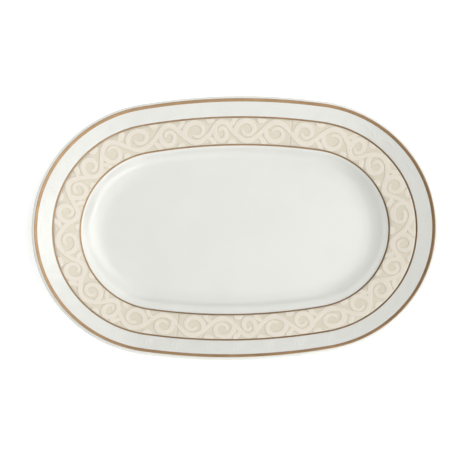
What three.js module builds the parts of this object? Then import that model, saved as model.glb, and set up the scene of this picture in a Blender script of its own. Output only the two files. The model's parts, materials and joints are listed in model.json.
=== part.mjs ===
// An oval serving platter in fine china: one fired body with its foot ring, and the gold and
// the printed transfers laid on its rim. Millimetres, +Z up and +X along the length. The origin
// is the centre of the plane that the foot rests on.
import * as THREE from "three";

// Plan of the outer edge: an oval of four arcs, two round ends joined by two shallow sides.
const LENGTH = 352.4;
const WIDTH = 236.4;
const END_RADIUS = 113.2;

// Heights above the table.
const LIP_HEIGHT = 24.4;
const FLOOR_HEIGHT = 7.6;
const RECESS_HEIGHT = 2.8;

// The section, from the lip to the well. An inset is a distance inside the outer edge.
const LIP_RADIUS = 1.8;
const RIM_SLOPE = THREE.MathUtils.degToRad(14.5);
const VERGE_INSET = 42.6;
const VERGE_RADIUS = 8;
const WALL_SLOPE = THREE.MathUtils.degToRad(35);
const COVE_RADIUS = 22;
const EASE_SLOPE = THREE.MathUtils.degToRad(12);
const EASE_RADIUS = 60;
const BODY_THICKNESS = 4.8;

// The foot ring under the edge of the well, with eased corners.
const FOOT_INSET = 52.6;
const FOOT_WIDTH = 3.8;
const FOOT_EASE = 0.7;
const FOOT_DRAFT = 0.2;

// Decoration: where each band starts and ends, as insets from the outer edge. Bands stand as
// thin solids just clear of the glaze. The gold edge band starts just inside the rounded lip,
// which stays white.
const GILDING = [2.4, 5.2];
const BORDER_LINE = [17.7, 19.2];
const TRANSFER_BAND = [19.3, 41.1];
const VERGE_LINE = [41.2, 42.6];
const BAND_THICKNESS = 0.2;
const BAND_CLEARANCE = 0.05;
const SEAM_GAP = 0.3;

// Fineness of the facets.
const END_STEPS = 15;
const SIDE_STEPS = 6;
const SEAM_STEP = 2;
const LIP_STEPS = 4;
const UNDER_LIP_STEPS = 3;
const VERGE_STEPS = 3;
const COVE_STEPS = 4;
const EASE_STEPS = 3;

const QUARTER = Math.PI / 2;
const HALF_LENGTH = LENGTH / 2;
const HALF_WIDTH = WIDTH / 2;
const END_CENTRE = HALF_LENGTH - END_RADIUS;
// The side arc is tangent to the end arc, so its radius follows from the other three sizes.
const SIDE_RADIUS =
  (HALF_LENGTH ** 2 + HALF_WIDTH ** 2 - 2 * HALF_LENGTH * END_RADIUS) / (2 * (HALF_WIDTH - END_RADIUS));
const SIDE_CENTRE = SIDE_RADIUS - HALF_WIDTH;
const JUNCTION = Math.atan2(SIDE_CENTRE, END_CENTRE);
// An inset this deep stands for the platter's centre, where the rings of facets close.
const CENTRE_INSET = END_RADIUS;

function steps(from, to, count) {
  return Array.from({ length: count + 1 }, (_, i) => from + ((to - from) * i) / count);
}

// The point where the oval that lies `inset` inside the edge faces the direction `angle`.
function planPoint(angle, inset) {
  if (inset >= CENTRE_INSET) return [0, 0];
  const c = Math.cos(angle);
  const s = Math.sin(angle);
  const onEnd = Math.abs(c) >= Math.cos(JUNCTION) - 1e-9;
  const radius = (onEnd ? END_RADIUS : SIDE_RADIUS) - inset;
  const centreX = onEnd ? Math.sign(c) * END_CENTRE : 0;
  const centreY = onEnd ? 0 : -Math.sign(s) * SIDE_CENTRE;
  return [centreX + radius * c, centreY + radius * s];
}

// The facing angles of the facet corners in one quadrant, from an end to a side.
const QUADRANT = [...steps(0, JUNCTION, END_STEPS), ...steps(JUNCTION, QUARTER, SIDE_STEPS).slice(1)];
const HALF_TURN = [...QUADRANT, ...QUADRANT.map((angle) => Math.PI - angle).reverse().slice(1)];
const FULL_TURN = [...HALF_TURN, ...HALF_TURN.map((angle) => Math.PI + angle).slice(1, -1)];
const SEAM_ANGLE = QUADRANT[END_STEPS + SEAM_STEP];

// The solid that a closed section of [inset, height] points fills as it passes the facing angles.
// It closes on itself when it wraps; otherwise each end is capped.
function sweptSolid(section, angles, wraps) {
  const rings = angles.map((angle) =>
    section.map(([inset, height]) => new THREE.Vector3(...planPoint(angle, inset), height)),
  );
  const corners = [];
  const addFace = (...face) => {
    const collapsed = face.some((point, i) => point.equals(face[(i + 1) % 3]));
    if (!collapsed) face.forEach((point) => corners.push(...point.toArray()));
  };
  const passes = wraps ? rings.length : rings.length - 1;
  for (let k = 0; k < passes; k++) {
    const near = rings[k];
    const far = rings[(k + 1) % rings.length];
    for (let i = 0; i < section.length; i++) {
      const j = (i + 1) % section.length;
      addFace(near[i], far[j], far[i]);
      addFace(near[i], near[j], far[j]);
    }
  }
  if (!wraps) {
    const outline = section.map(([inset, height]) => new THREE.Vector2(inset, height));
    const [first, last] = [rings[0], rings[rings.length - 1]];
    for (const [a, b, c] of THREE.ShapeUtils.triangulateShape(outline, [])) {
      addFace(first[a], first[c], first[b]);
      addFace(last[a], last[b], last[c]);
    }
  }
  const geometry = new THREE.BufferGeometry();
  geometry.setAttribute("position", new THREE.Float32BufferAttribute(corners, 3));
  geometry.computeVertexNormals();
  return geometry;
}

// The direction that a surface of this slope faces, as [inset, height].
function facing(slope) {
  return [Math.sin(slope), Math.cos(slope)];
}

function offset([inset, height], [du, dz], distance) {
  return [inset + du * distance, height + dz * distance];
}

const LIP_CENTRE = [LIP_RADIUS, LIP_HEIGHT - LIP_RADIUS];
const RIM_START = offset(LIP_CENTRE, facing(RIM_SLOPE), LIP_RADIUS);

// Height of the rim's upper face, which is a straight slope from the lip to the verge.
function rimHeight(inset) {
  return RIM_START[1] - (inset - RIM_START[0]) * Math.tan(RIM_SLOPE);
}

// Directions around the lip from the rim's slope over the top to the outermost point, and on
// to the rim's underside.
const OVER_LIP = [QUARTER - RIM_SLOPE, ...steps(QUARTER, Math.PI, LIP_STEPS)];
const UNDER_LIP = steps(Math.PI, 3 * QUARTER - RIM_SLOPE, UNDER_LIP_STEPS).slice(1);

function lipPoint(direction, distance) {
  return offset(LIP_CENTRE, [Math.cos(direction), Math.sin(direction)], LIP_RADIUS + distance);
}

// The hollow round that carries on from a point of the first slope and eases to the second.
function hollow(start, radius, slope, endSlope, count) {
  const centre = offset(start, facing(slope), radius);
  return steps(slope, endSlope, count).map((to) => ({
    slope: to,
    point: offset(centre, facing(to), -radius),
  }));
}

// The upper face from the verge to the floor: over the verge, down the wall, round the cove and
// out along a wider hollow on to the floor. Each entry holds a point and the slope there.
function innerFace() {
  const vergeCentre = offset([VERGE_INSET, rimHeight(VERGE_INSET)], facing(RIM_SLOPE), -VERGE_RADIUS);
  const verge = steps(RIM_SLOPE, WALL_SLOPE, VERGE_STEPS).map((slope) => ({
    slope,
    point: offset(vergeCentre, facing(slope), VERGE_RADIUS),
  }));
  const [wallInset, wallHeight] = verge[VERGE_STEPS].point;
  const coveDrop = COVE_RADIUS * (Math.cos(EASE_SLOPE) - Math.cos(WALL_SLOPE));
  const easeDrop = EASE_RADIUS * (1 - Math.cos(EASE_SLOPE));
  const coveHeight = FLOOR_HEIGHT + easeDrop + coveDrop;
  const coveStart = [wallInset + (wallHeight - coveHeight) / Math.tan(WALL_SLOPE), coveHeight];
  const cove = hollow(coveStart, COVE_RADIUS, WALL_SLOPE, EASE_SLOPE, COVE_STEPS);
  const ease = hollow(cove[COVE_STEPS].point, EASE_RADIUS, EASE_SLOPE, 0, EASE_STEPS);
  return [...verge, ...cove, ...ease.slice(1)];
}

// The body's whole section, from the centre of the well out over the lip and back under to the
// centre of the base. The wall grows from the lip's thickness to the base's.
function bodySection() {
  const inner = innerFace();
  const floorInset = inner[inner.length - 1].point[0];
  const under = inner
    .map(({ slope, point }) => {
      const share = Math.min(1, point[0] / FOOT_INSET);
      const thickness = THREE.MathUtils.lerp(2 * LIP_RADIUS, BODY_THICKNESS, share);
      return offset(point, facing(slope), -thickness);
    })
    .filter(([inset]) => inset < FOOT_INSET - FOOT_EASE);
  const footRoot = under[under.length - 1][1] - FOOT_EASE;
  const footInner = FOOT_INSET + FOOT_WIDTH;
  return [
    [CENTRE_INSET, FLOOR_HEIGHT],
    ...inner.map(({ point }) => point).reverse(),
    ...OVER_LIP.map((direction) => lipPoint(direction, 0)),
    ...UNDER_LIP.map((direction) => lipPoint(direction, 0)),
    ...under,
    [FOOT_INSET, footRoot],
    [FOOT_INSET + FOOT_DRAFT, FOOT_EASE],
    [FOOT_INSET + FOOT_EASE, 0],
    [footInner - FOOT_EASE, 0],
    [footInner - FOOT_DRAFT, FOOT_EASE],
    [footInner, RECESS_HEIGHT - FOOT_EASE],
    [footInner + FOOT_EASE, RECESS_HEIGHT],
    [floorInset + FOOT_EASE, RECESS_HEIGHT],
    [CENTRE_INSET, RECESS_HEIGHT],
  ];
}

// The section of a flat band on the rim's slope between two insets.
function rimBand([outer, inner]) {
  const face = (lift) =>
    [inner, outer].map((inset) => offset([inset, rimHeight(inset)], facing(RIM_SLOPE), lift));
  return [...face(BAND_CLEARANCE + BAND_THICKNESS), ...face(BAND_CLEARANCE).reverse()];
}

// Half the scroll band, from one seam to the opposite one.
function transferSolid() {
  const gapAngle = SEAM_GAP / 2 / SIDE_RADIUS;
  const halfTurn = [SEAM_ANGLE + gapAngle, SEAM_ANGLE + Math.PI - gapAngle];
  const between = FULL_TURN.filter((angle) => angle > halfTurn[0] && angle < halfTurn[1]);
  return sweptSolid(rimBand(TRANSFER_BAND), [halfTurn[0], ...between, halfTurn[1]], false);
}

function addPiece(group, name, geometry, material) {
  const mesh = new THREE.Mesh(geometry, material);
  mesh.name = name;
  group.add(mesh);
  return mesh;
}

const china = new THREE.MeshStandardMaterial({ color: "#f2f1ec", roughness: 0.12, metalness: 0 });
const gold = new THREE.MeshStandardMaterial({ color: "#b58a63", roughness: 0.3, metalness: 1 });
const hairline = new THREE.MeshStandardMaterial({ color: "#a27a55", roughness: 0.35, metalness: 1 });
const transfer = new THREE.MeshStandardMaterial({ color: "#ece3d0", roughness: 0.2, metalness: 0 });

const platter = new THREE.Group();
addPiece(platter, "china_body", sweptSolid(bodySection(), FULL_TURN, true), china);
addPiece(platter, "rim_gilding", sweptSolid(rimBand(GILDING), FULL_TURN, true), gold);
addPiece(platter, "border_gold_line", sweptSolid(rimBand(BORDER_LINE), FULL_TURN, true), hairline);
addPiece(platter, "verge_gold_line", sweptSolid(rimBand(VERGE_LINE), FULL_TURN, true), hairline);
addPiece(platter, "scroll_transfer_a", transferSolid(), transfer);
addPiece(platter, "scroll_transfer_b", transferSolid(), transfer).rotation.z = Math.PI;

export default platter;
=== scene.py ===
"""The looks of an oval serving platter in fine china: a glazed body with relief on its outer border,
burnished gold just inside the lip, two gold hairlines, and a band of printed scrolls laid on in two sheets.
Metres, +Z up, +X along the length; the foot rests on z = 0."""
import json
import math
from collections import namedtuple

import bmesh
import bpy
import numpy as np
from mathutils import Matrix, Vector


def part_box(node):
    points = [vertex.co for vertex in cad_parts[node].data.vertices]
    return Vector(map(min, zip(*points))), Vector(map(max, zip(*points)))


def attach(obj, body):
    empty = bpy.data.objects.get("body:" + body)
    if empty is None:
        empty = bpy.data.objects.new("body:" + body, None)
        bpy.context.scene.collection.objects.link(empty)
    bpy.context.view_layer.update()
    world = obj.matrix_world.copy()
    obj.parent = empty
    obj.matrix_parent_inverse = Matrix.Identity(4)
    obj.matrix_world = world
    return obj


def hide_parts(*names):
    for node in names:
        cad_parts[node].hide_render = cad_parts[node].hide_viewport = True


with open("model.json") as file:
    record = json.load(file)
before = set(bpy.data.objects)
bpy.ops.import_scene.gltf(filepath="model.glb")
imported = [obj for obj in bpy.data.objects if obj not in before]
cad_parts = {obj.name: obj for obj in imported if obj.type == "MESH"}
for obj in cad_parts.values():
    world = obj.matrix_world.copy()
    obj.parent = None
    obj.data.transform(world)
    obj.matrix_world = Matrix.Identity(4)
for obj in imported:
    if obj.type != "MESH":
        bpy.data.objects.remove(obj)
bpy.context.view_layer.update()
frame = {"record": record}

MM = 0.001
TURN = 2 * math.pi
QUARTER = math.pi / 2

# ------------------------------------------------------------------ sizes read from the frame
HALF_LENGTH, HALF_WIDTH, LIP_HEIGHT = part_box("china_body")[1]
FLOOR_HEIGHT = next(m["pos_m"][2] for m in frame["record"]["mounts"] if m["name"] == "well_floor")
BORDER_LINE_INSET = HALF_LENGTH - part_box("border_gold_line")[1].x
VERGE_LINE_INSET = HALF_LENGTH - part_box("verge_gold_line")[1].x
GILDING_OUTER = HALF_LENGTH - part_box("rim_gilding")[1].x

# ------------------------------------------------------------------ the design's other sizes
END_RADIUS = 113.2 * MM
LIP_RADIUS = 1.8 * MM
RIM_SLOPE = math.radians(14.5)
VERGE_INSET = 42.6 * MM
VERGE_RADIUS = 8 * MM
WALL_SLOPE = math.radians(35)
COVE_RADIUS = 22 * MM
EASE_SLOPE = math.radians(12)
EASE_RADIUS = 60 * MM
BODY_THICKNESS = 4.8 * MM
RECESS_HEIGHT = 2.8 * MM
FOOT_INSET = 52.6 * MM
FOOT_WIDTH = 3.8 * MM
FOOT_EASE = 0.7 * MM
FOOT_DRAFT = 0.2 * MM
BARE_HEIGHT = 0.45 * FOOT_EASE
GILDING_WIDTH = 2.8 * MM
BORDER_LINE_WIDTH = 1.5 * MM
VERGE_LINE_WIDTH = 1.4 * MM
LINE_GAP = 0.1 * MM
SEAM_GAP = 0.3 * MM

# Thickness of what lies on the glaze, and how deep its underside sinks into the glaze.
GOLD_THICKNESS = 0.09 * MM
LINE_THICKNESS = 0.05 * MM
SHEET_THICKNESS = 0.06 * MM
SHADE_THICKNESS = 0.03 * MM
RIBBON_THICKNESS = 0.09 * MM
SUNK_DEPTH = 0.02 * MM

# Fineness of the meshes: the pitch round the oval and along a ribbon, and the floor's and the
# recess's rings, given by their insets.
STATION_PITCH = 1.15 * MM
RIBBON_PITCH = 0.6 * MM
FLOOR_RINGS = np.array([104, 94, 84, 76, 71]) * MM
RECESS_RINGS = np.array([80, 104]) * MM

GILDING_INNER = GILDING_OUTER + GILDING_WIDTH
END_CENTRE = HALF_LENGTH - END_RADIUS
SIDE_RADIUS = HALF_LENGTH**2 + HALF_WIDTH**2 - 2 * HALF_LENGTH * END_RADIUS
SIDE_RADIUS /= 2 * (HALF_WIDTH - END_RADIUS)
SIDE_CENTRE = SIDE_RADIUS - HALF_WIDTH
JUNCTION = math.atan2(SIDE_CENTRE, END_CENTRE)
TRANSFER_INSET = BORDER_LINE_INSET + BORDER_LINE_WIDTH + LINE_GAP
TRANSFER_WIDTH = VERGE_LINE_INSET - LINE_GAP - TRANSFER_INSET
TRANSFER_MIDDLE = TRANSFER_INSET + TRANSFER_WIDTH / 2
SEAM_ANGLE = math.acos(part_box("scroll_transfer_a")[1].x / (SIDE_RADIUS - TRANSFER_INSET))


# ------------------------------------------------------------------ plan and section
def plan_points(angles, insets):
    """Where the ovals that lie `insets` inside the outer edge face the directions `angles`."""
    c, s = np.cos(angles), np.sin(angles)
    on_end = np.abs(c) >= math.cos(JUNCTION) - 1e-9
    radius = np.where(on_end, END_RADIUS, SIDE_RADIUS) - insets
    x = np.where(on_end, np.sign(c) * END_CENTRE, 0) + radius * c
    y = np.where(on_end, 0, -np.sign(s) * SIDE_CENTRE) + radius * s
    return x, y


def run_knots(inset):
    """Facing angles where the oval's arcs meet, and the lengths run there from the +X end."""
    angles = np.array([0, JUNCTION, math.pi - JUNCTION, math.pi + JUNCTION, TURN - JUNCTION, TURN])
    end, side = END_RADIUS - inset, SIDE_RADIUS - inset
    runs = np.concatenate([[0], np.cumsum(np.diff(angles) * [end, side, end, side, end])])
    return angles, runs


def run_at(angles, inset):
    knots, runs = run_knots(inset)
    return np.interp(angles, knots, runs)


def angle_at(runs, inset):
    knots, knot_runs = run_knots(inset)
    total = knot_runs[-1]
    laps = np.floor(np.asarray(runs) / total)
    return np.interp(runs - laps * total, knot_runs, knots) + laps * TURN


def facing(slope):
    """The direction square to a slope that falls inward, as inset and height."""
    return np.array([math.sin(slope), math.cos(slope)])


def arc(centre, radius, start, end, count):
    directions = np.linspace(start, end, count + 1)
    return np.array(centre) + radius * np.stack([np.cos(directions), np.sin(directions)], axis=1)


LIP_CENTRE = np.array([LIP_RADIUS, LIP_HEIGHT - LIP_RADIUS])
RIM_START = LIP_CENTRE + LIP_RADIUS * facing(RIM_SLOPE)


def rim_height(inset):
    return RIM_START[1] - (inset - RIM_START[0]) * math.tan(RIM_SLOPE)


def rim_points(insets):
    return np.stack([insets, rim_height(insets)], axis=1)


def hollow(start, radius, slopes):
    """The hollow round that carries on from a point of the first slope through the others."""
    centre = start + radius * facing(slopes[0])
    return np.array([centre - radius * facing(slope) for slope in slopes])


def inner_face():
    """Points and slopes of the upper face: over the verge, down the wall, round the cove and out
    along a wider hollow on to the floor."""
    verge_centre = np.array([VERGE_INSET, rim_height(VERGE_INSET)]) - VERGE_RADIUS * facing(RIM_SLOPE)
    verge_slopes = np.linspace(RIM_SLOPE, WALL_SLOPE, 8)
    verge = np.array([verge_centre + VERGE_RADIUS * facing(slope) for slope in verge_slopes])
    cove_drop = COVE_RADIUS * (math.cos(EASE_SLOPE) - math.cos(WALL_SLOPE))
    cove_height = FLOOR_HEIGHT + EASE_RADIUS * (1 - math.cos(EASE_SLOPE)) + cove_drop
    wall_run = (verge[-1, 1] - cove_height) / math.tan(WALL_SLOPE)
    cove_slopes = np.linspace(WALL_SLOPE, EASE_SLOPE, 10)
    cove = hollow(np.array([verge[-1, 0] + wall_run, cove_height]), COVE_RADIUS, cove_slopes)
    ease_slopes = np.linspace(EASE_SLOPE, 0, 9)
    ease = hollow(cove[-1], EASE_RADIUS, ease_slopes)
    points = np.concatenate([verge, cove, ease[1:]])
    return points, np.concatenate([verge_slopes, cove_slopes, ease_slopes[1:]])


def body_section():
    """The body's section from the well's centre out over the lip and back under, as inset and
    height, and the number of leading rows that belong to the upper face, up to the lip."""
    inner, slopes = inner_face()
    floor = np.array([[inset, FLOOR_HEIGHT] for inset in FLOOR_RINGS])
    well = np.concatenate([floor, inner[::-1]])
    rim = np.concatenate([
        np.linspace(VERGE_INSET, TRANSFER_INSET, 6)[1:],
        np.linspace(BORDER_LINE_INSET, GILDING_INNER, 19),
        np.linspace(GILDING_INNER, GILDING_OUTER, 4)[1:],
    ])
    lip = arc(LIP_CENTRE, LIP_RADIUS, QUARTER - RIM_SLOPE, 3 * QUARTER - RIM_SLOPE, 14)
    share = np.minimum(1, inner[:, 0] / FOOT_INSET)
    thickness = 2 * LIP_RADIUS + (BODY_THICKNESS - 2 * LIP_RADIUS) * share
    under = inner - thickness[:, None] * np.array([facing(slope) for slope in slopes])
    under = under[under[:, 0] < FOOT_INSET - FOOT_EASE]
    rim_under = lip[-1] + (under[0] - lip[-1]) * np.linspace(0, 1, 6)[1:-1, None]
    foot_inner = FOOT_INSET + FOOT_WIDTH
    root = under[-1, 1] - FOOT_EASE
    foot = np.concatenate([
        [[FOOT_INSET, root], [FOOT_INSET + FOOT_DRAFT, FOOT_EASE]],
        arc((FOOT_INSET + FOOT_EASE, FOOT_EASE), FOOT_EASE, 2 * QUARTER, 3 * QUARTER, 4)[1:],
        arc((foot_inner - FOOT_EASE, FOOT_EASE), FOOT_EASE, 3 * QUARTER, 4 * QUARTER, 4),
        [[foot_inner, RECESS_HEIGHT - FOOT_EASE]],
        arc((foot_inner + FOOT_EASE, RECESS_HEIGHT - FOOT_EASE), FOOT_EASE, 2 * QUARTER, QUARTER, 3)[1:],
    ])
    recess = np.array([[inset, RECESS_HEIGHT] for inset in (inner[-1, 0] + 4 * MM, *RECESS_RINGS)])
    section = np.concatenate([well, rim_points(rim), lip, rim_under, under, foot, recess])
    return section, len(well) + len(rim)


# ------------------------------------------------------------------ mesh building
def make_object(name, vertices, faces):
    mesh = bpy.data.meshes.new(name)
    mesh.from_pydata(vertices, [], faces)
    shape = bmesh.new()
    shape.from_mesh(mesh)
    bmesh.ops.recalc_face_normals(shape, faces=shape.faces)
    shape.to_mesh(mesh)
    shape.free()
    mesh.shade_smooth()
    thing = bpy.data.objects.new(name, mesh)
    bpy.context.scene.collection.objects.link(thing)
    return thing


def grid_faces(rows, columns, wrap_rows=False, wrap_columns=False, first=0):
    """Quads over a grid of vertices, numbered row by row from `first`."""
    i = np.arange(rows if wrap_rows else rows - 1)
    j = np.arange(columns if wrap_columns else columns - 1)
    i, j = np.meshgrid(i, j, indexing="ij")
    i2, j2 = (i + 1) % rows, (j + 1) % columns
    quads = np.stack([i * columns + j, i2 * columns + j, i2 * columns + j2, i * columns + j2], axis=-1)
    return (quads.reshape(-1, 4) + first).tolist()


def end_faces(rows, columns, first=0):
    """The two faces that close the ends of a tube of vertices, numbered row by row from `first`."""
    last = first + (rows - 1) * columns
    return [list(range(first, first + columns)), list(range(last, last + columns))[::-1]]


def full_turn():
    """Facing angles of the stations round the whole oval."""
    count = round(run_knots(0)[1][-1] / STATION_PITCH / 4) * 4
    return angle_at(np.arange(count) * run_knots(0)[1][-1] / count, 0)


def positions(angles, insets, heights):
    x, y = plan_points(angles, insets)
    return np.stack([x, y, np.broadcast_to(heights, x.shape)], axis=-1)


# ------------------------------------------------------------------ relief of the white border
RELIEF_HEIGHT = 0.2 * MM
RELIEF_MOTIFS = 34
LEAVES = 5
LEAF_LENGTH = 8.6 * MM
LEAF_SPREAD = math.radians(33)
LEAF_HALF_WIDTH = 1.15 * MM
SWAG_HALF_WIDTH = 0.8 * MM

# Where the sprays spring and where the swags hang, as shares of the border's width from the gold edge.
SPRAY_FOOT = 0.92
SWAG_MIDDLE = 0.56
SWAG_SWING = 0.26


def relief(runs, across, pitch, width):
    """Height, from 0 to 1, of the leaf sprays and the swags that link them, from the length run
    and the share of the border's width, which starts at the gold edge. The more a leaf leans, the
    shorter and the more bowed it is. A swag fades out before it reaches a spray."""
    along = np.mod(runs, pitch) - pitch / 2
    up = width * (SPRAY_FOOT - across)
    height = np.zeros_like(along)
    for k in range(LEAVES):
        lean = (k - (LEAVES - 1) / 2) * LEAF_SPREAD
        length = LEAF_LENGTH * (1 - 0.18 * abs(lean))
        share = (along * math.sin(lean) + up * math.cos(lean)) / length
        inside = (share > 0) & (share < 1)
        share = np.clip(share, 0, 1)
        swell = np.sqrt(np.sin(math.pi * share))
        aside = along * math.cos(lean) - up * math.sin(lean) - 0.35 * lean * length * share * (1 - share)
        dome = np.clip(1 - (aside / (LEAF_HALF_WIDTH * swell + 1e-9)) ** 2, 0, 1) * swell
        height = np.maximum(height, np.where(inside, dome, 0))
    swag = width * (SWAG_MIDDLE + SWAG_SWING * np.cos(TURN * along / pitch))
    from_swag = np.abs(across * width - swag) / SWAG_HALF_WIDTH
    fade = np.clip(np.abs(along) / pitch * 10 - 3, 0, 1)
    return np.maximum(height, 0.7 * fade * np.clip(1 - from_swag**2, 0, 1))


def make_body():
    """The whole body: its section swept round the oval, with the relief raised on the outer border."""
    section, top_rows = body_section()
    angles = full_turn()
    insets = np.tile(section[:, 0], (len(angles), 1))
    heights = np.tile(section[:, 1], (len(angles), 1))
    top = np.arange(len(section)) < top_rows
    border = top & (section[:, 0] > GILDING_INNER) & (section[:, 0] < BORDER_LINE_INSET)
    width = BORDER_LINE_INSET - GILDING_INNER
    middle = GILDING_INNER + width / 2
    runs = run_at(angles, middle)[:, None]
    pitch = run_knots(middle)[1][-1] / RELIEF_MOTIFS
    across = np.tile((section[border, 0] - GILDING_INNER) / width, (len(angles), 1))
    lift = RELIEF_HEIGHT * relief(np.broadcast_to(runs, across.shape), across, pitch, width)
    insets[:, border] += lift * facing(RIM_SLOPE)[0]
    heights[:, border] += lift * facing(RIM_SLOPE)[1]
    points = positions(angles[:, None], insets, heights).reshape(-1, 3)
    rows, columns = len(angles), len(section)
    faces = grid_faces(rows, columns, wrap_rows=True)
    floor_centre, recess_centre = len(points), len(points) + 1
    points = np.concatenate([points, [[0, 0, FLOOR_HEIGHT], [0, 0, RECESS_HEIGHT]]])
    for i in range(rows):
        start, following = i * columns, (i + 1) % rows * columns
        faces.append([start, following, floor_centre])
        faces.append([following + columns - 1, start + columns - 1, recess_centre])
    return make_object("glazed_china_body", points.tolist(), faces)


# ------------------------------------------------------------------ gold
EDGE_WAVER = 0.05 * MM


def wobble(angles, seed, size):
    """A slow waver, as a brushed edge has, that closes on itself after a full turn."""
    draw = np.random.default_rng(seed)
    total = np.zeros_like(angles)
    for waves in (3, 7, 13, 29, 61):
        total += np.sin(waves * angles + draw.uniform(0, TURN)) / waves**0.4
    return size * total / 2


def make_band(name, outer, width, thickness, seed):
    """A thin band of gold round the whole rim. Its edges feather out and waver a little."""
    angles = full_turn()
    share = np.linspace(-1, 1, 9)
    path = rim_points(outer + width * (1 - share) / 2)
    dome = thickness * (1 - share**8)
    sunk = np.full(len(share), -SUNK_DEPTH)
    ring = np.concatenate([path, path[::-1]])
    ring = ring + facing(RIM_SLOPE) * np.concatenate([dome, sunk])[:, None]
    insets = np.tile(ring[:, 0], (len(angles), 1))
    heights = np.tile(ring[:, 1], (len(angles), 1))
    sides = np.concatenate([share, share[::-1]])
    for side in (-1, 1):
        waver = wobble(angles, seed + side, EDGE_WAVER)[:, None]
        insets[:, sides == side] += waver
        heights[:, sides == side] -= waver * math.tan(RIM_SLOPE)
    points = positions(angles[:, None], insets, heights)
    faces = grid_faces(len(angles), len(ring), wrap_rows=True, wrap_columns=True)
    return make_object(name, points.reshape(-1, 3).tolist(), faces)


# ------------------------------------------------------------------ the scroll band
# A sheet's own coordinates are u, run along the band's middle from the seam, and t, from its outer
# edge to its inner edge. A stem waves from edge to edge. Each time it comes back to the middle, a
# shoot carries on the same way round and winds into a volute under the wave. Buds and leaves fill
# what is left at the edges.
SHEET_LENGTH = run_knots(TRANSFER_MIDDLE)[1][-1] / 2
END_HALF_WIDTH = 0.02 * MM
OUTLINE_SPREAD = 0.55 * MM

# The motifs' sizes, and the lines made from them, are in millimetres and degrees. A line is an
# array of rows (u, t, half width).
HALF_WAVES = 16
STEM_SWING = 8.2
STEM_HALF_WIDTH = 2.15
VOLUTE_RADIUS = 8.7
VOLUTE_SHIFT = 1.3
VOLUTE_START = -36
VOLUTE_END = 345
VOLUTE_CLOSING = 0.9483
BUD_RADIUS = 3.9
BUD_SHIFT = 0.9
EDGE_LEAF_SHIFT = 2.2
EDGE_LEAF_DEPTH = 6.2
EDGE_LEAF_REACH = 5.6
EDGE_LEAF_HALF_WIDTH = 2.3


def wave_marks(length):
    """Where the stem crosses the middle. The waves are uneven, as in a hand-drawn border."""
    share = np.arange(HALF_WAVES + 1) / HALF_WAVES
    return length * (share + 0.006 * np.sin(TURN * 3 * share) - 0.005 * np.sin(TURN * 7 * share))


def stem_line(marks, width):
    """The stem, a little broader at the crests of its waves."""
    steps = np.linspace(0, HALF_WAVES, 24 * HALF_WAVES + 1)
    u = np.interp(steps, np.arange(HALF_WAVES + 1), marks)
    t = width / 2 - STEM_SWING * np.sin(math.pi * steps)
    half = STEM_HALF_WIDTH * (0.86 + 0.22 * np.sin(math.pi * steps) ** 2)
    return np.stack([u, t, half], axis=1)


def volute_line(k, marks, width):
    """The volute of wave k. Its size and where it ends vary from wave to wave."""
    side = -1 if k % 2 else 1
    size = 1 + 0.07 * math.sin(2.4 * k)
    turn = np.radians(np.linspace(VOLUTE_START, VOLUTE_END + 30 * math.sin(1.7 * k), 60))
    radius = size * VOLUTE_RADIUS * np.exp(-VOLUTE_CLOSING * turn / TURN)
    stretch = (marks[k + 1] - marks[k]) / (marks[-1] / HALF_WAVES)
    u = (marks[k] + marks[k + 1]) / 2 + stretch * radius * np.cos(turn)
    t = width / 2 + side * (VOLUTE_SHIFT + radius * np.sin(turn))
    share = np.linspace(0, 1, len(turn))
    half = STEM_HALF_WIDTH * (1 - 0.42 * share + 0.16 * np.exp(-((share - 0.35) / 0.2) ** 2))
    half *= 0.6 + 0.4 * np.minimum(1, share / 0.1)
    return np.stack([u, t, half], axis=1)


def bud_line(u, from_inner, radius, width):
    """A half-round bud on one edge."""
    depth = np.sin(np.linspace(0, QUARTER, 14)) * radius
    half = np.sqrt(np.maximum(radius**2 - depth**2, 0.001))
    t = width - depth if from_inner else depth
    return np.stack([np.full_like(t, u), t, half], axis=1)


def leaf_line(u, from_inner, width):
    """A pointed leaf that springs from an edge and bends along the band."""
    share = np.linspace(0, 1, 20)
    t = EDGE_LEAF_DEPTH * np.sin(share * 1.25)
    half = EDGE_LEAF_HALF_WIDTH * (1 - share) ** 0.6 * (0.75 + 0.9 * share) + 0.25
    return np.stack([u + EDGE_LEAF_REACH * share**1.7, width - t if from_inner else t, half], axis=1)


def even_steps(points, half_widths, pitch):
    """The same line with its points an even pitch apart, and how far each is from the last."""
    length = np.concatenate([[0], np.cumsum(np.hypot(*np.diff(points, axis=0).T))])
    count = max(4, round(length[-1] / pitch))
    at = np.linspace(0, length[-1], count + 1)
    line = np.stack([np.interp(at, length, points[:, k]) for k in (0, 1)], axis=1)
    return line, np.interp(at, length, half_widths), length[-1] - at


def ornament_paths():
    """Every ribbon of one sheet: line and half widths in metres, and whether its far end is free."""
    length, width = SHEET_LENGTH / MM, TRANSFER_WIDTH / MM
    marks = wave_marks(length)
    lines = [(stem_line(marks, width), False)]
    lines += [(volute_line(k, marks, width), True) for k in range(HALF_WAVES)]
    for k in range(1, HALF_WAVES):
        is_odd = k % 2 == 1
        radius = BUD_RADIUS * (1 + 0.08 * math.sin(1.3 * k))
        lines.append((bud_line(marks[k] + BUD_SHIFT, not is_odd, radius, width), False))
        lines.append((leaf_line(marks[k] - EDGE_LEAF_SHIFT, is_odd, width), True))
    return [(line[:, :2] * MM, line[:, 2] * MM, free_end) for line, free_end in lines]


def sheet_positions(u, t, lift):
    """Places of points given in a sheet's coordinates, lifted off the glaze."""
    start = run_at(SEAM_ANGLE, TRANSFER_MIDDLE)
    angles = angle_at(start + u, TRANSFER_MIDDLE)
    normal = facing(RIM_SLOPE)
    insets = TRANSFER_INSET + t
    return positions(angles, insets + lift * normal[0], rim_height(insets) + lift * normal[1])


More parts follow.
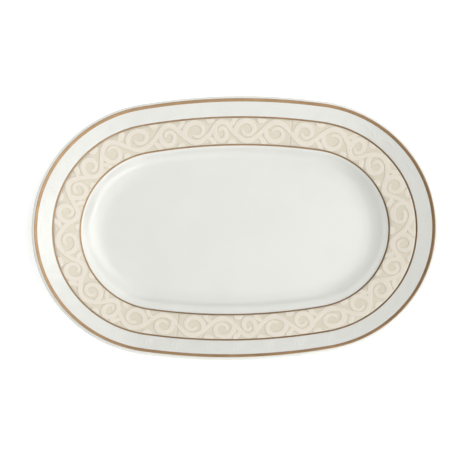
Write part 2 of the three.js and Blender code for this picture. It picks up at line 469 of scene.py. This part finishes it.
def make_sheet_object(name, points, faces, turned):
    """A piece of the first sheet, or of the second, which is the same after half a turn."""
    if turned:
        points = points * [-1, -1, 1]
    return make_object(name, points.tolist(), faces)


def share_of(distance, reach):
    """0 at no distance, rising to 1 at the reach and beyond."""
    return np.clip(distance / (reach + 1e-9), 0, 1)[:, None]


def broadening(line, half):
    """The direction in which a ribbon broadens: square to its line, but along the band where it
    nears an edge of the sheet, and across the band where it nears a seam."""
    heading = np.gradient(line, axis=0)
    heading /= np.hypot(*heading.T)[:, None]
    side = np.stack([-heading[:, 1], heading[:, 0]], axis=1)
    along = np.stack([np.where(side[:, 0] >= 0, 1.0, -1.0), np.zeros(len(side))], axis=1)
    clear = share_of(np.minimum(line[:, 1], TRANSFER_WIDTH - line[:, 1]), half)
    clear = clear * clear * (3 - 2 * clear)
    side = along * (1 - clear) + side * clear
    clear = share_of(np.minimum(line[:, 0], SHEET_LENGTH - line[:, 0]), 2 * half)
    side = np.array([0.0, 1.0]) * (1 - clear) + side * clear
    return side / np.hypot(*side.T)[:, None]


def make_ribbons(name, paths, top, spread, turned):
    """All the ribbons of one sheet as low domed solids that start inside the sheet and rise to
    `top`. Spread widens them beyond their lines."""
    low = SHEET_THICKNESS / 2
    across = np.array([-1, -0.8, -0.4, 0, 0.4, 0.8, 1])
    crown = np.sqrt(np.clip(1 - across**2 * 0.96, 0, 1))
    ring_across = np.concatenate([[-1], across, [1]])
    ring_lift = np.concatenate([[low], low + (top - low) * (0.35 + 0.65 * crown), [low]])
    rings, faces = [], []
    first = 0
    for points, half, free_end in paths:
        line, half, to_end = even_steps(points, half, RIBBON_PITCH)
        half = half + spread
        if free_end:
            inside = np.clip(to_end / (half[-1] + spread), 0, 1)
            half = half * np.sqrt(1 - (1 - inside) ** 2) + END_HALF_WIDTH
        reach = broadening(line, half) * half[:, None]
        spots = line[:, None] + reach[:, None] * ring_across[:, None]
        u = np.clip(spots[..., 0], SEAM_GAP, SHEET_LENGTH - SEAM_GAP)
        t = np.clip(spots[..., 1], 0, TRANSFER_WIDTH)
        rows, columns = u.shape
        rings.append(sheet_positions(u, t, np.broadcast_to(ring_lift, u.shape)).reshape(-1, 3))
        faces += grid_faces(rows, columns, wrap_columns=True, first=first)
        faces += end_faces(rows, columns, first)
        first += rows * columns
    return make_sheet_object(name, np.concatenate(rings), faces, turned)


def make_ground(name, turned):
    """The sheet that the scrolls are printed on."""
    stations = round(SHEET_LENGTH / STATION_PITCH)
    along = np.linspace(SEAM_GAP / 2, SHEET_LENGTH - SEAM_GAP / 2, stations)
    across = np.linspace(0, TRANSFER_WIDTH, 12)
    u, t = np.meshgrid(along, np.concatenate([across, across[::-1]]), indexing="ij")
    lift = np.repeat([SHEET_THICKNESS, -SUNK_DEPTH], len(across))
    points = sheet_positions(u, t, np.broadcast_to(lift, u.shape)).reshape(-1, 3)
    rows, columns = u.shape
    faces = grid_faces(rows, columns, wrap_columns=True) + end_faces(rows, columns)
    return make_sheet_object(name, points, faces, turned)


# ------------------------------------------------------------------ materials
def new_material(name, **sockets):
    material = bpy.data.materials.new(name)
    material.use_nodes = True
    shader = material.node_tree.nodes["Principled BSDF"]
    for socket, value in sockets.items():
        shader.inputs[socket.replace("_", " ")].default_value = value
    return material, material.node_tree, shader


def noise(tree, scale, detail, roughness=0.5):
    coordinates = tree.nodes.new("ShaderNodeTexCoord")
    texture = tree.nodes.new("ShaderNodeTexNoise")
    texture.inputs["Scale"].default_value = scale
    texture.inputs["Detail"].default_value = detail
    texture.inputs["Roughness"].default_value = roughness
    tree.links.new(coordinates.outputs["Object"], texture.inputs["Vector"])
    return texture.outputs["Fac"]


def ramp(tree, source, edge, dark, light):
    """A colour that goes from dark to light as the source goes from `edge` to 1 - `edge`."""
    node = tree.nodes.new("ShaderNodeValToRGB")
    for element, place, colour in zip(node.color_ramp.elements, (edge, 1 - edge), (dark, light)):
        element.position = place
        element.color = (*colour, 1)
    tree.links.new(source, node.inputs["Fac"])
    return node.outputs["Color"]


def level(tree, source, low, high):
    """A number that goes from low to high with the source."""
    node = tree.nodes.new("ShaderNodeMapRange")
    node.inputs["To Min"].default_value = low
    node.inputs["To Max"].default_value = high
    tree.links.new(source, node.inputs["Value"])
    return node.outputs["Result"]


def bump(tree, shader, source, distance):
    node = tree.nodes.new("ShaderNodeBump")
    node.inputs["Distance"].default_value = distance
    node.inputs["Strength"].default_value = 1.0
    tree.links.new(source, node.inputs["Height"])
    tree.links.new(node.outputs["Normal"], shader.inputs["Normal"])


def china_material():
    """White bone china under a clear glaze, with the slow waves a fired glaze has."""
    material, tree, shader = new_material("glazed_bone_china", Specular_IOR_Level=0.8, Coat_Weight=1.0,
                                          Coat_IOR=1.6, Coat_Roughness=0.16)
    tone = ramp(tree, noise(tree, 22, 3), 0.35, (0.785, 0.785, 0.735), (0.805, 0.805, 0.755))
    tree.links.new(tone, shader.inputs["Base Color"])
    tree.links.new(level(tree, noise(tree, 90, 2), 0.18, 0.26), shader.inputs["Roughness"])
    bump(tree, shader, noise(tree, 140, 1), 0.04 * MM)
    return material


def biscuit_material():
    """Bare fired china, where the foot was wiped clean of glaze."""
    material, tree, shader = new_material("bare_china", Roughness=0.75, Specular_IOR_Level=0.3)
    tone = ramp(tree, noise(tree, 700, 6), 0.3, (0.70, 0.67, 0.61), (0.84, 0.82, 0.77))
    tree.links.new(tone, shader.inputs["Base Color"])
    bump(tree, shader, noise(tree, 2500, 4), 0.06 * MM)
    return material


def gold_material(name, dark, light, roughness):
    """Fired gold with the streaks and thin patches of a bander's brush."""
    material, tree, shader = new_material(name, Metallic=1.0)
    tone = ramp(tree, noise(tree, 60, 6, 0.6), 0.3, dark, light)
    tree.links.new(tone, shader.inputs["Base Color"])
    tree.links.new(level(tree, noise(tree, 400, 4), roughness - 0.06, roughness + 0.08),
                   shader.inputs["Roughness"])
    bump(tree, shader, noise(tree, 900, 3), 0.02 * MM)
    return material


def print_material(name, dark, light):
    """Enamel colour printed as a transfer and fired in: a fine stipple under a thin gloss."""
    material, tree, shader = new_material(name, Specular_IOR_Level=0.35)
    tone = ramp(tree, noise(tree, 1100, 3, 0.7), 0.35, dark, light)
    tree.links.new(tone, shader.inputs["Base Color"])
    tree.links.new(level(tree, noise(tree, 200, 2), 0.30, 0.38), shader.inputs["Roughness"])
    bump(tree, shader, noise(tree, 700, 2), 0.02 * MM)
    return material


# ------------------------------------------------------------------ the pieces
def finish_piece(piece, slot, replaced, *materials):
    """Gives a piece its materials, hangs it on the root body and hides the CAD node that it takes the place
    of.
    """
    for material in materials:
        piece.data.materials.append(material)
    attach(piece, "root")
    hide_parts(replaced)


def build_platter():
    china, biscuit = china_material(), biscuit_material()
    gold = gold_material("burnished_gold_edge", (0.385, 0.252, 0.138), (0.48, 0.318, 0.182), 0.45)
    line_gold = gold_material("gold_line", (0.29, 0.188, 0.100), (0.38, 0.252, 0.140), 0.38)
    ground = print_material("transfer_ground", (0.738, 0.678, 0.551), (0.770, 0.710, 0.583))
    shade = print_material("transfer_shade", (0.712, 0.648, 0.522), (0.744, 0.680, 0.554))
    ribbon = print_material("transfer_ribbon", (0.816, 0.756, 0.650), (0.840, 0.780, 0.674))

    body = make_body()
    finish_piece(body, "glazed_china", "china_body", china, biscuit)
    for face in body.data.polygons:
        if face.center.z < BARE_HEIGHT:
            face.material_index = 1

    gilding = make_band("gold_edge", GILDING_OUTER, GILDING_WIDTH, GOLD_THICKNESS, 3)
    finish_piece(gilding, "burnished_gold", "rim_gilding", gold)
    border_line = make_band("gold_border_line", BORDER_LINE_INSET, BORDER_LINE_WIDTH, LINE_THICKNESS, 6)
    finish_piece(border_line, "gold_hairline", "border_gold_line", line_gold)
    verge_line = make_band("gold_verge_line", VERGE_LINE_INSET, VERGE_LINE_WIDTH, LINE_THICKNESS, 9)
    finish_piece(verge_line, "gold_hairline", "verge_gold_line", line_gold)

    paths = ornament_paths()
    shade_top = SHEET_THICKNESS + SHADE_THICKNESS
    ribbon_top = shade_top + RIBBON_THICKNESS
    for letter, turned in (("a", False), ("b", True)):
        node = "scroll_transfer_" + letter
        sheet = make_ground("scroll_ground_" + letter, turned)
        finish_piece(sheet, "scroll_transfer", node, ground)
        outlines = make_ribbons("scroll_shade_" + letter, paths, shade_top, OUTLINE_SPREAD, turned)
        finish_piece(outlines, "scroll_transfer", node, shade)
        ribbons = make_ribbons("scroll_ribbon_" + letter, paths, ribbon_top, 0.0, turned)
        finish_piece(ribbons, "scroll_transfer", node, ribbon)


# ------------------------------------------------------------------ floor, lights and camera
FLOOR_RADIUS = 3.0
BEND_RADIUS = 1.2
WALL_TOP = 2.6
FLOOR_GLOW = 0.41
FILL_STRENGTH = 0.08


def make_studio():
    """A pale floor that turns up into a wall all round, glowing faintly so that it stays white."""
    bend = arc((FLOOR_RADIUS, BEND_RADIUS), BEND_RADIUS, 0.1 - QUARTER, 0, 9)
    section = [(FLOOR_RADIUS * 0.4, 0), (FLOOR_RADIUS, 0), *bend, (FLOOR_RADIUS + BEND_RADIUS, WALL_TOP)]
    turns = 72
    points = [(r * math.cos(TURN * k / turns), r * math.sin(TURN * k / turns), z)
              for k in range(turns) for r, z in section]
    faces = grid_faces(turns, len(section), wrap_rows=True)
    faces += [[len(points), k * len(section), (k + 1) % turns * len(section)] for k in range(turns)]
    points.append((0, 0, 0))
    floor = make_object("studio_floor", points, faces)
    material = new_material("pale_floor", Base_Color=(0.85, 0.85, 0.85, 1), Roughness=0.9,
                            Emission_Color=(1, 1, 1, 1), Emission_Strength=FLOOR_GLOW)[0]
    floor.data.materials.append(material)


def aim(thing, target):
    direction = Vector(target) - thing.location
    thing.rotation_mode = "QUATERNION"
    thing.rotation_quaternion = direction.to_track_quat("-Z", "Y")


# Square softboxes round the table: elevation and azimuth from +X in degrees, and power.
SOFTBOX_DISTANCE = 2.6
SOFTBOX_SIZE = 2.4
Softbox = namedtuple("Softbox", "name elevation azimuth power")
SOFTBOXES = [
    Softbox("overhead_softbox", 76, 0, 16.6),
    Softbox("right_softbox", 60, 0, 9.3),
    Softbox("far_right_softbox", 45, 45, 19.2),
    Softbox("near_right_softbox", 45, -45, 14.0),
    Softbox("near_softbox", 45, -90, 12.0),
]


def make_softbox(box, target):
    elevation, azimuth = math.radians(box.elevation), math.radians(box.azimuth)
    direction = Vector((math.cos(elevation) * math.cos(azimuth),
                        math.cos(elevation) * math.sin(azimuth),
                        math.sin(elevation)))
    light = bpy.data.lights.new(box.name, "AREA")
    light.shape = "SQUARE"
    light.size = SOFTBOX_SIZE
    light.energy = box.power
    lamp = bpy.data.objects.new(box.name, light)
    lamp.location = Vector(target) + direction * SOFTBOX_DISTANCE
    bpy.context.scene.collection.objects.link(lamp)
    aim(lamp, target)


def make_world():
    world = bpy.data.worlds.new("studio_fill")
    world.use_nodes = True
    background = world.node_tree.nodes["Background"]
    background.inputs["Color"].default_value = (1.0, 1.0, 1.0, 1)
    background.inputs["Strength"].default_value = FILL_STRENGTH
    bpy.context.scene.world = world


CAMERA_ELEVATION = math.radians(75.5)
CAMERA_AZIMUTH = math.radians(-0.96)
CAMERA_DISTANCE = 2.167
CAMERA_LENS = 196.5
AIM_OFFSET = (-0.0050, -0.0016)


def make_camera():
    target = Vector((*AIM_OFFSET, rim_height(BORDER_LINE_INSET)))
    back = Vector((math.sin(CAMERA_AZIMUTH) * math.cos(CAMERA_ELEVATION),
                   -math.cos(CAMERA_AZIMUTH) * math.cos(CAMERA_ELEVATION),
                   math.sin(CAMERA_ELEVATION)))
    data = bpy.data.cameras.new("camera")
    data.sensor_width = 36
    data.lens = CAMERA_LENS
    data.clip_start, data.clip_end = 0.1, 50
    camera = bpy.data.objects.new("camera", data)
    camera.location = target + back * CAMERA_DISTANCE
    bpy.context.scene.collection.objects.link(camera)
    aim(camera, target)
    bpy.context.scene.camera = camera


build_platter()
make_studio()
for softbox in SOFTBOXES:
    make_softbox(softbox, (0, 0, LIP_HEIGHT))
make_world()
make_camera()
bpy.context.scene.view_settings.view_transform = "Standard"
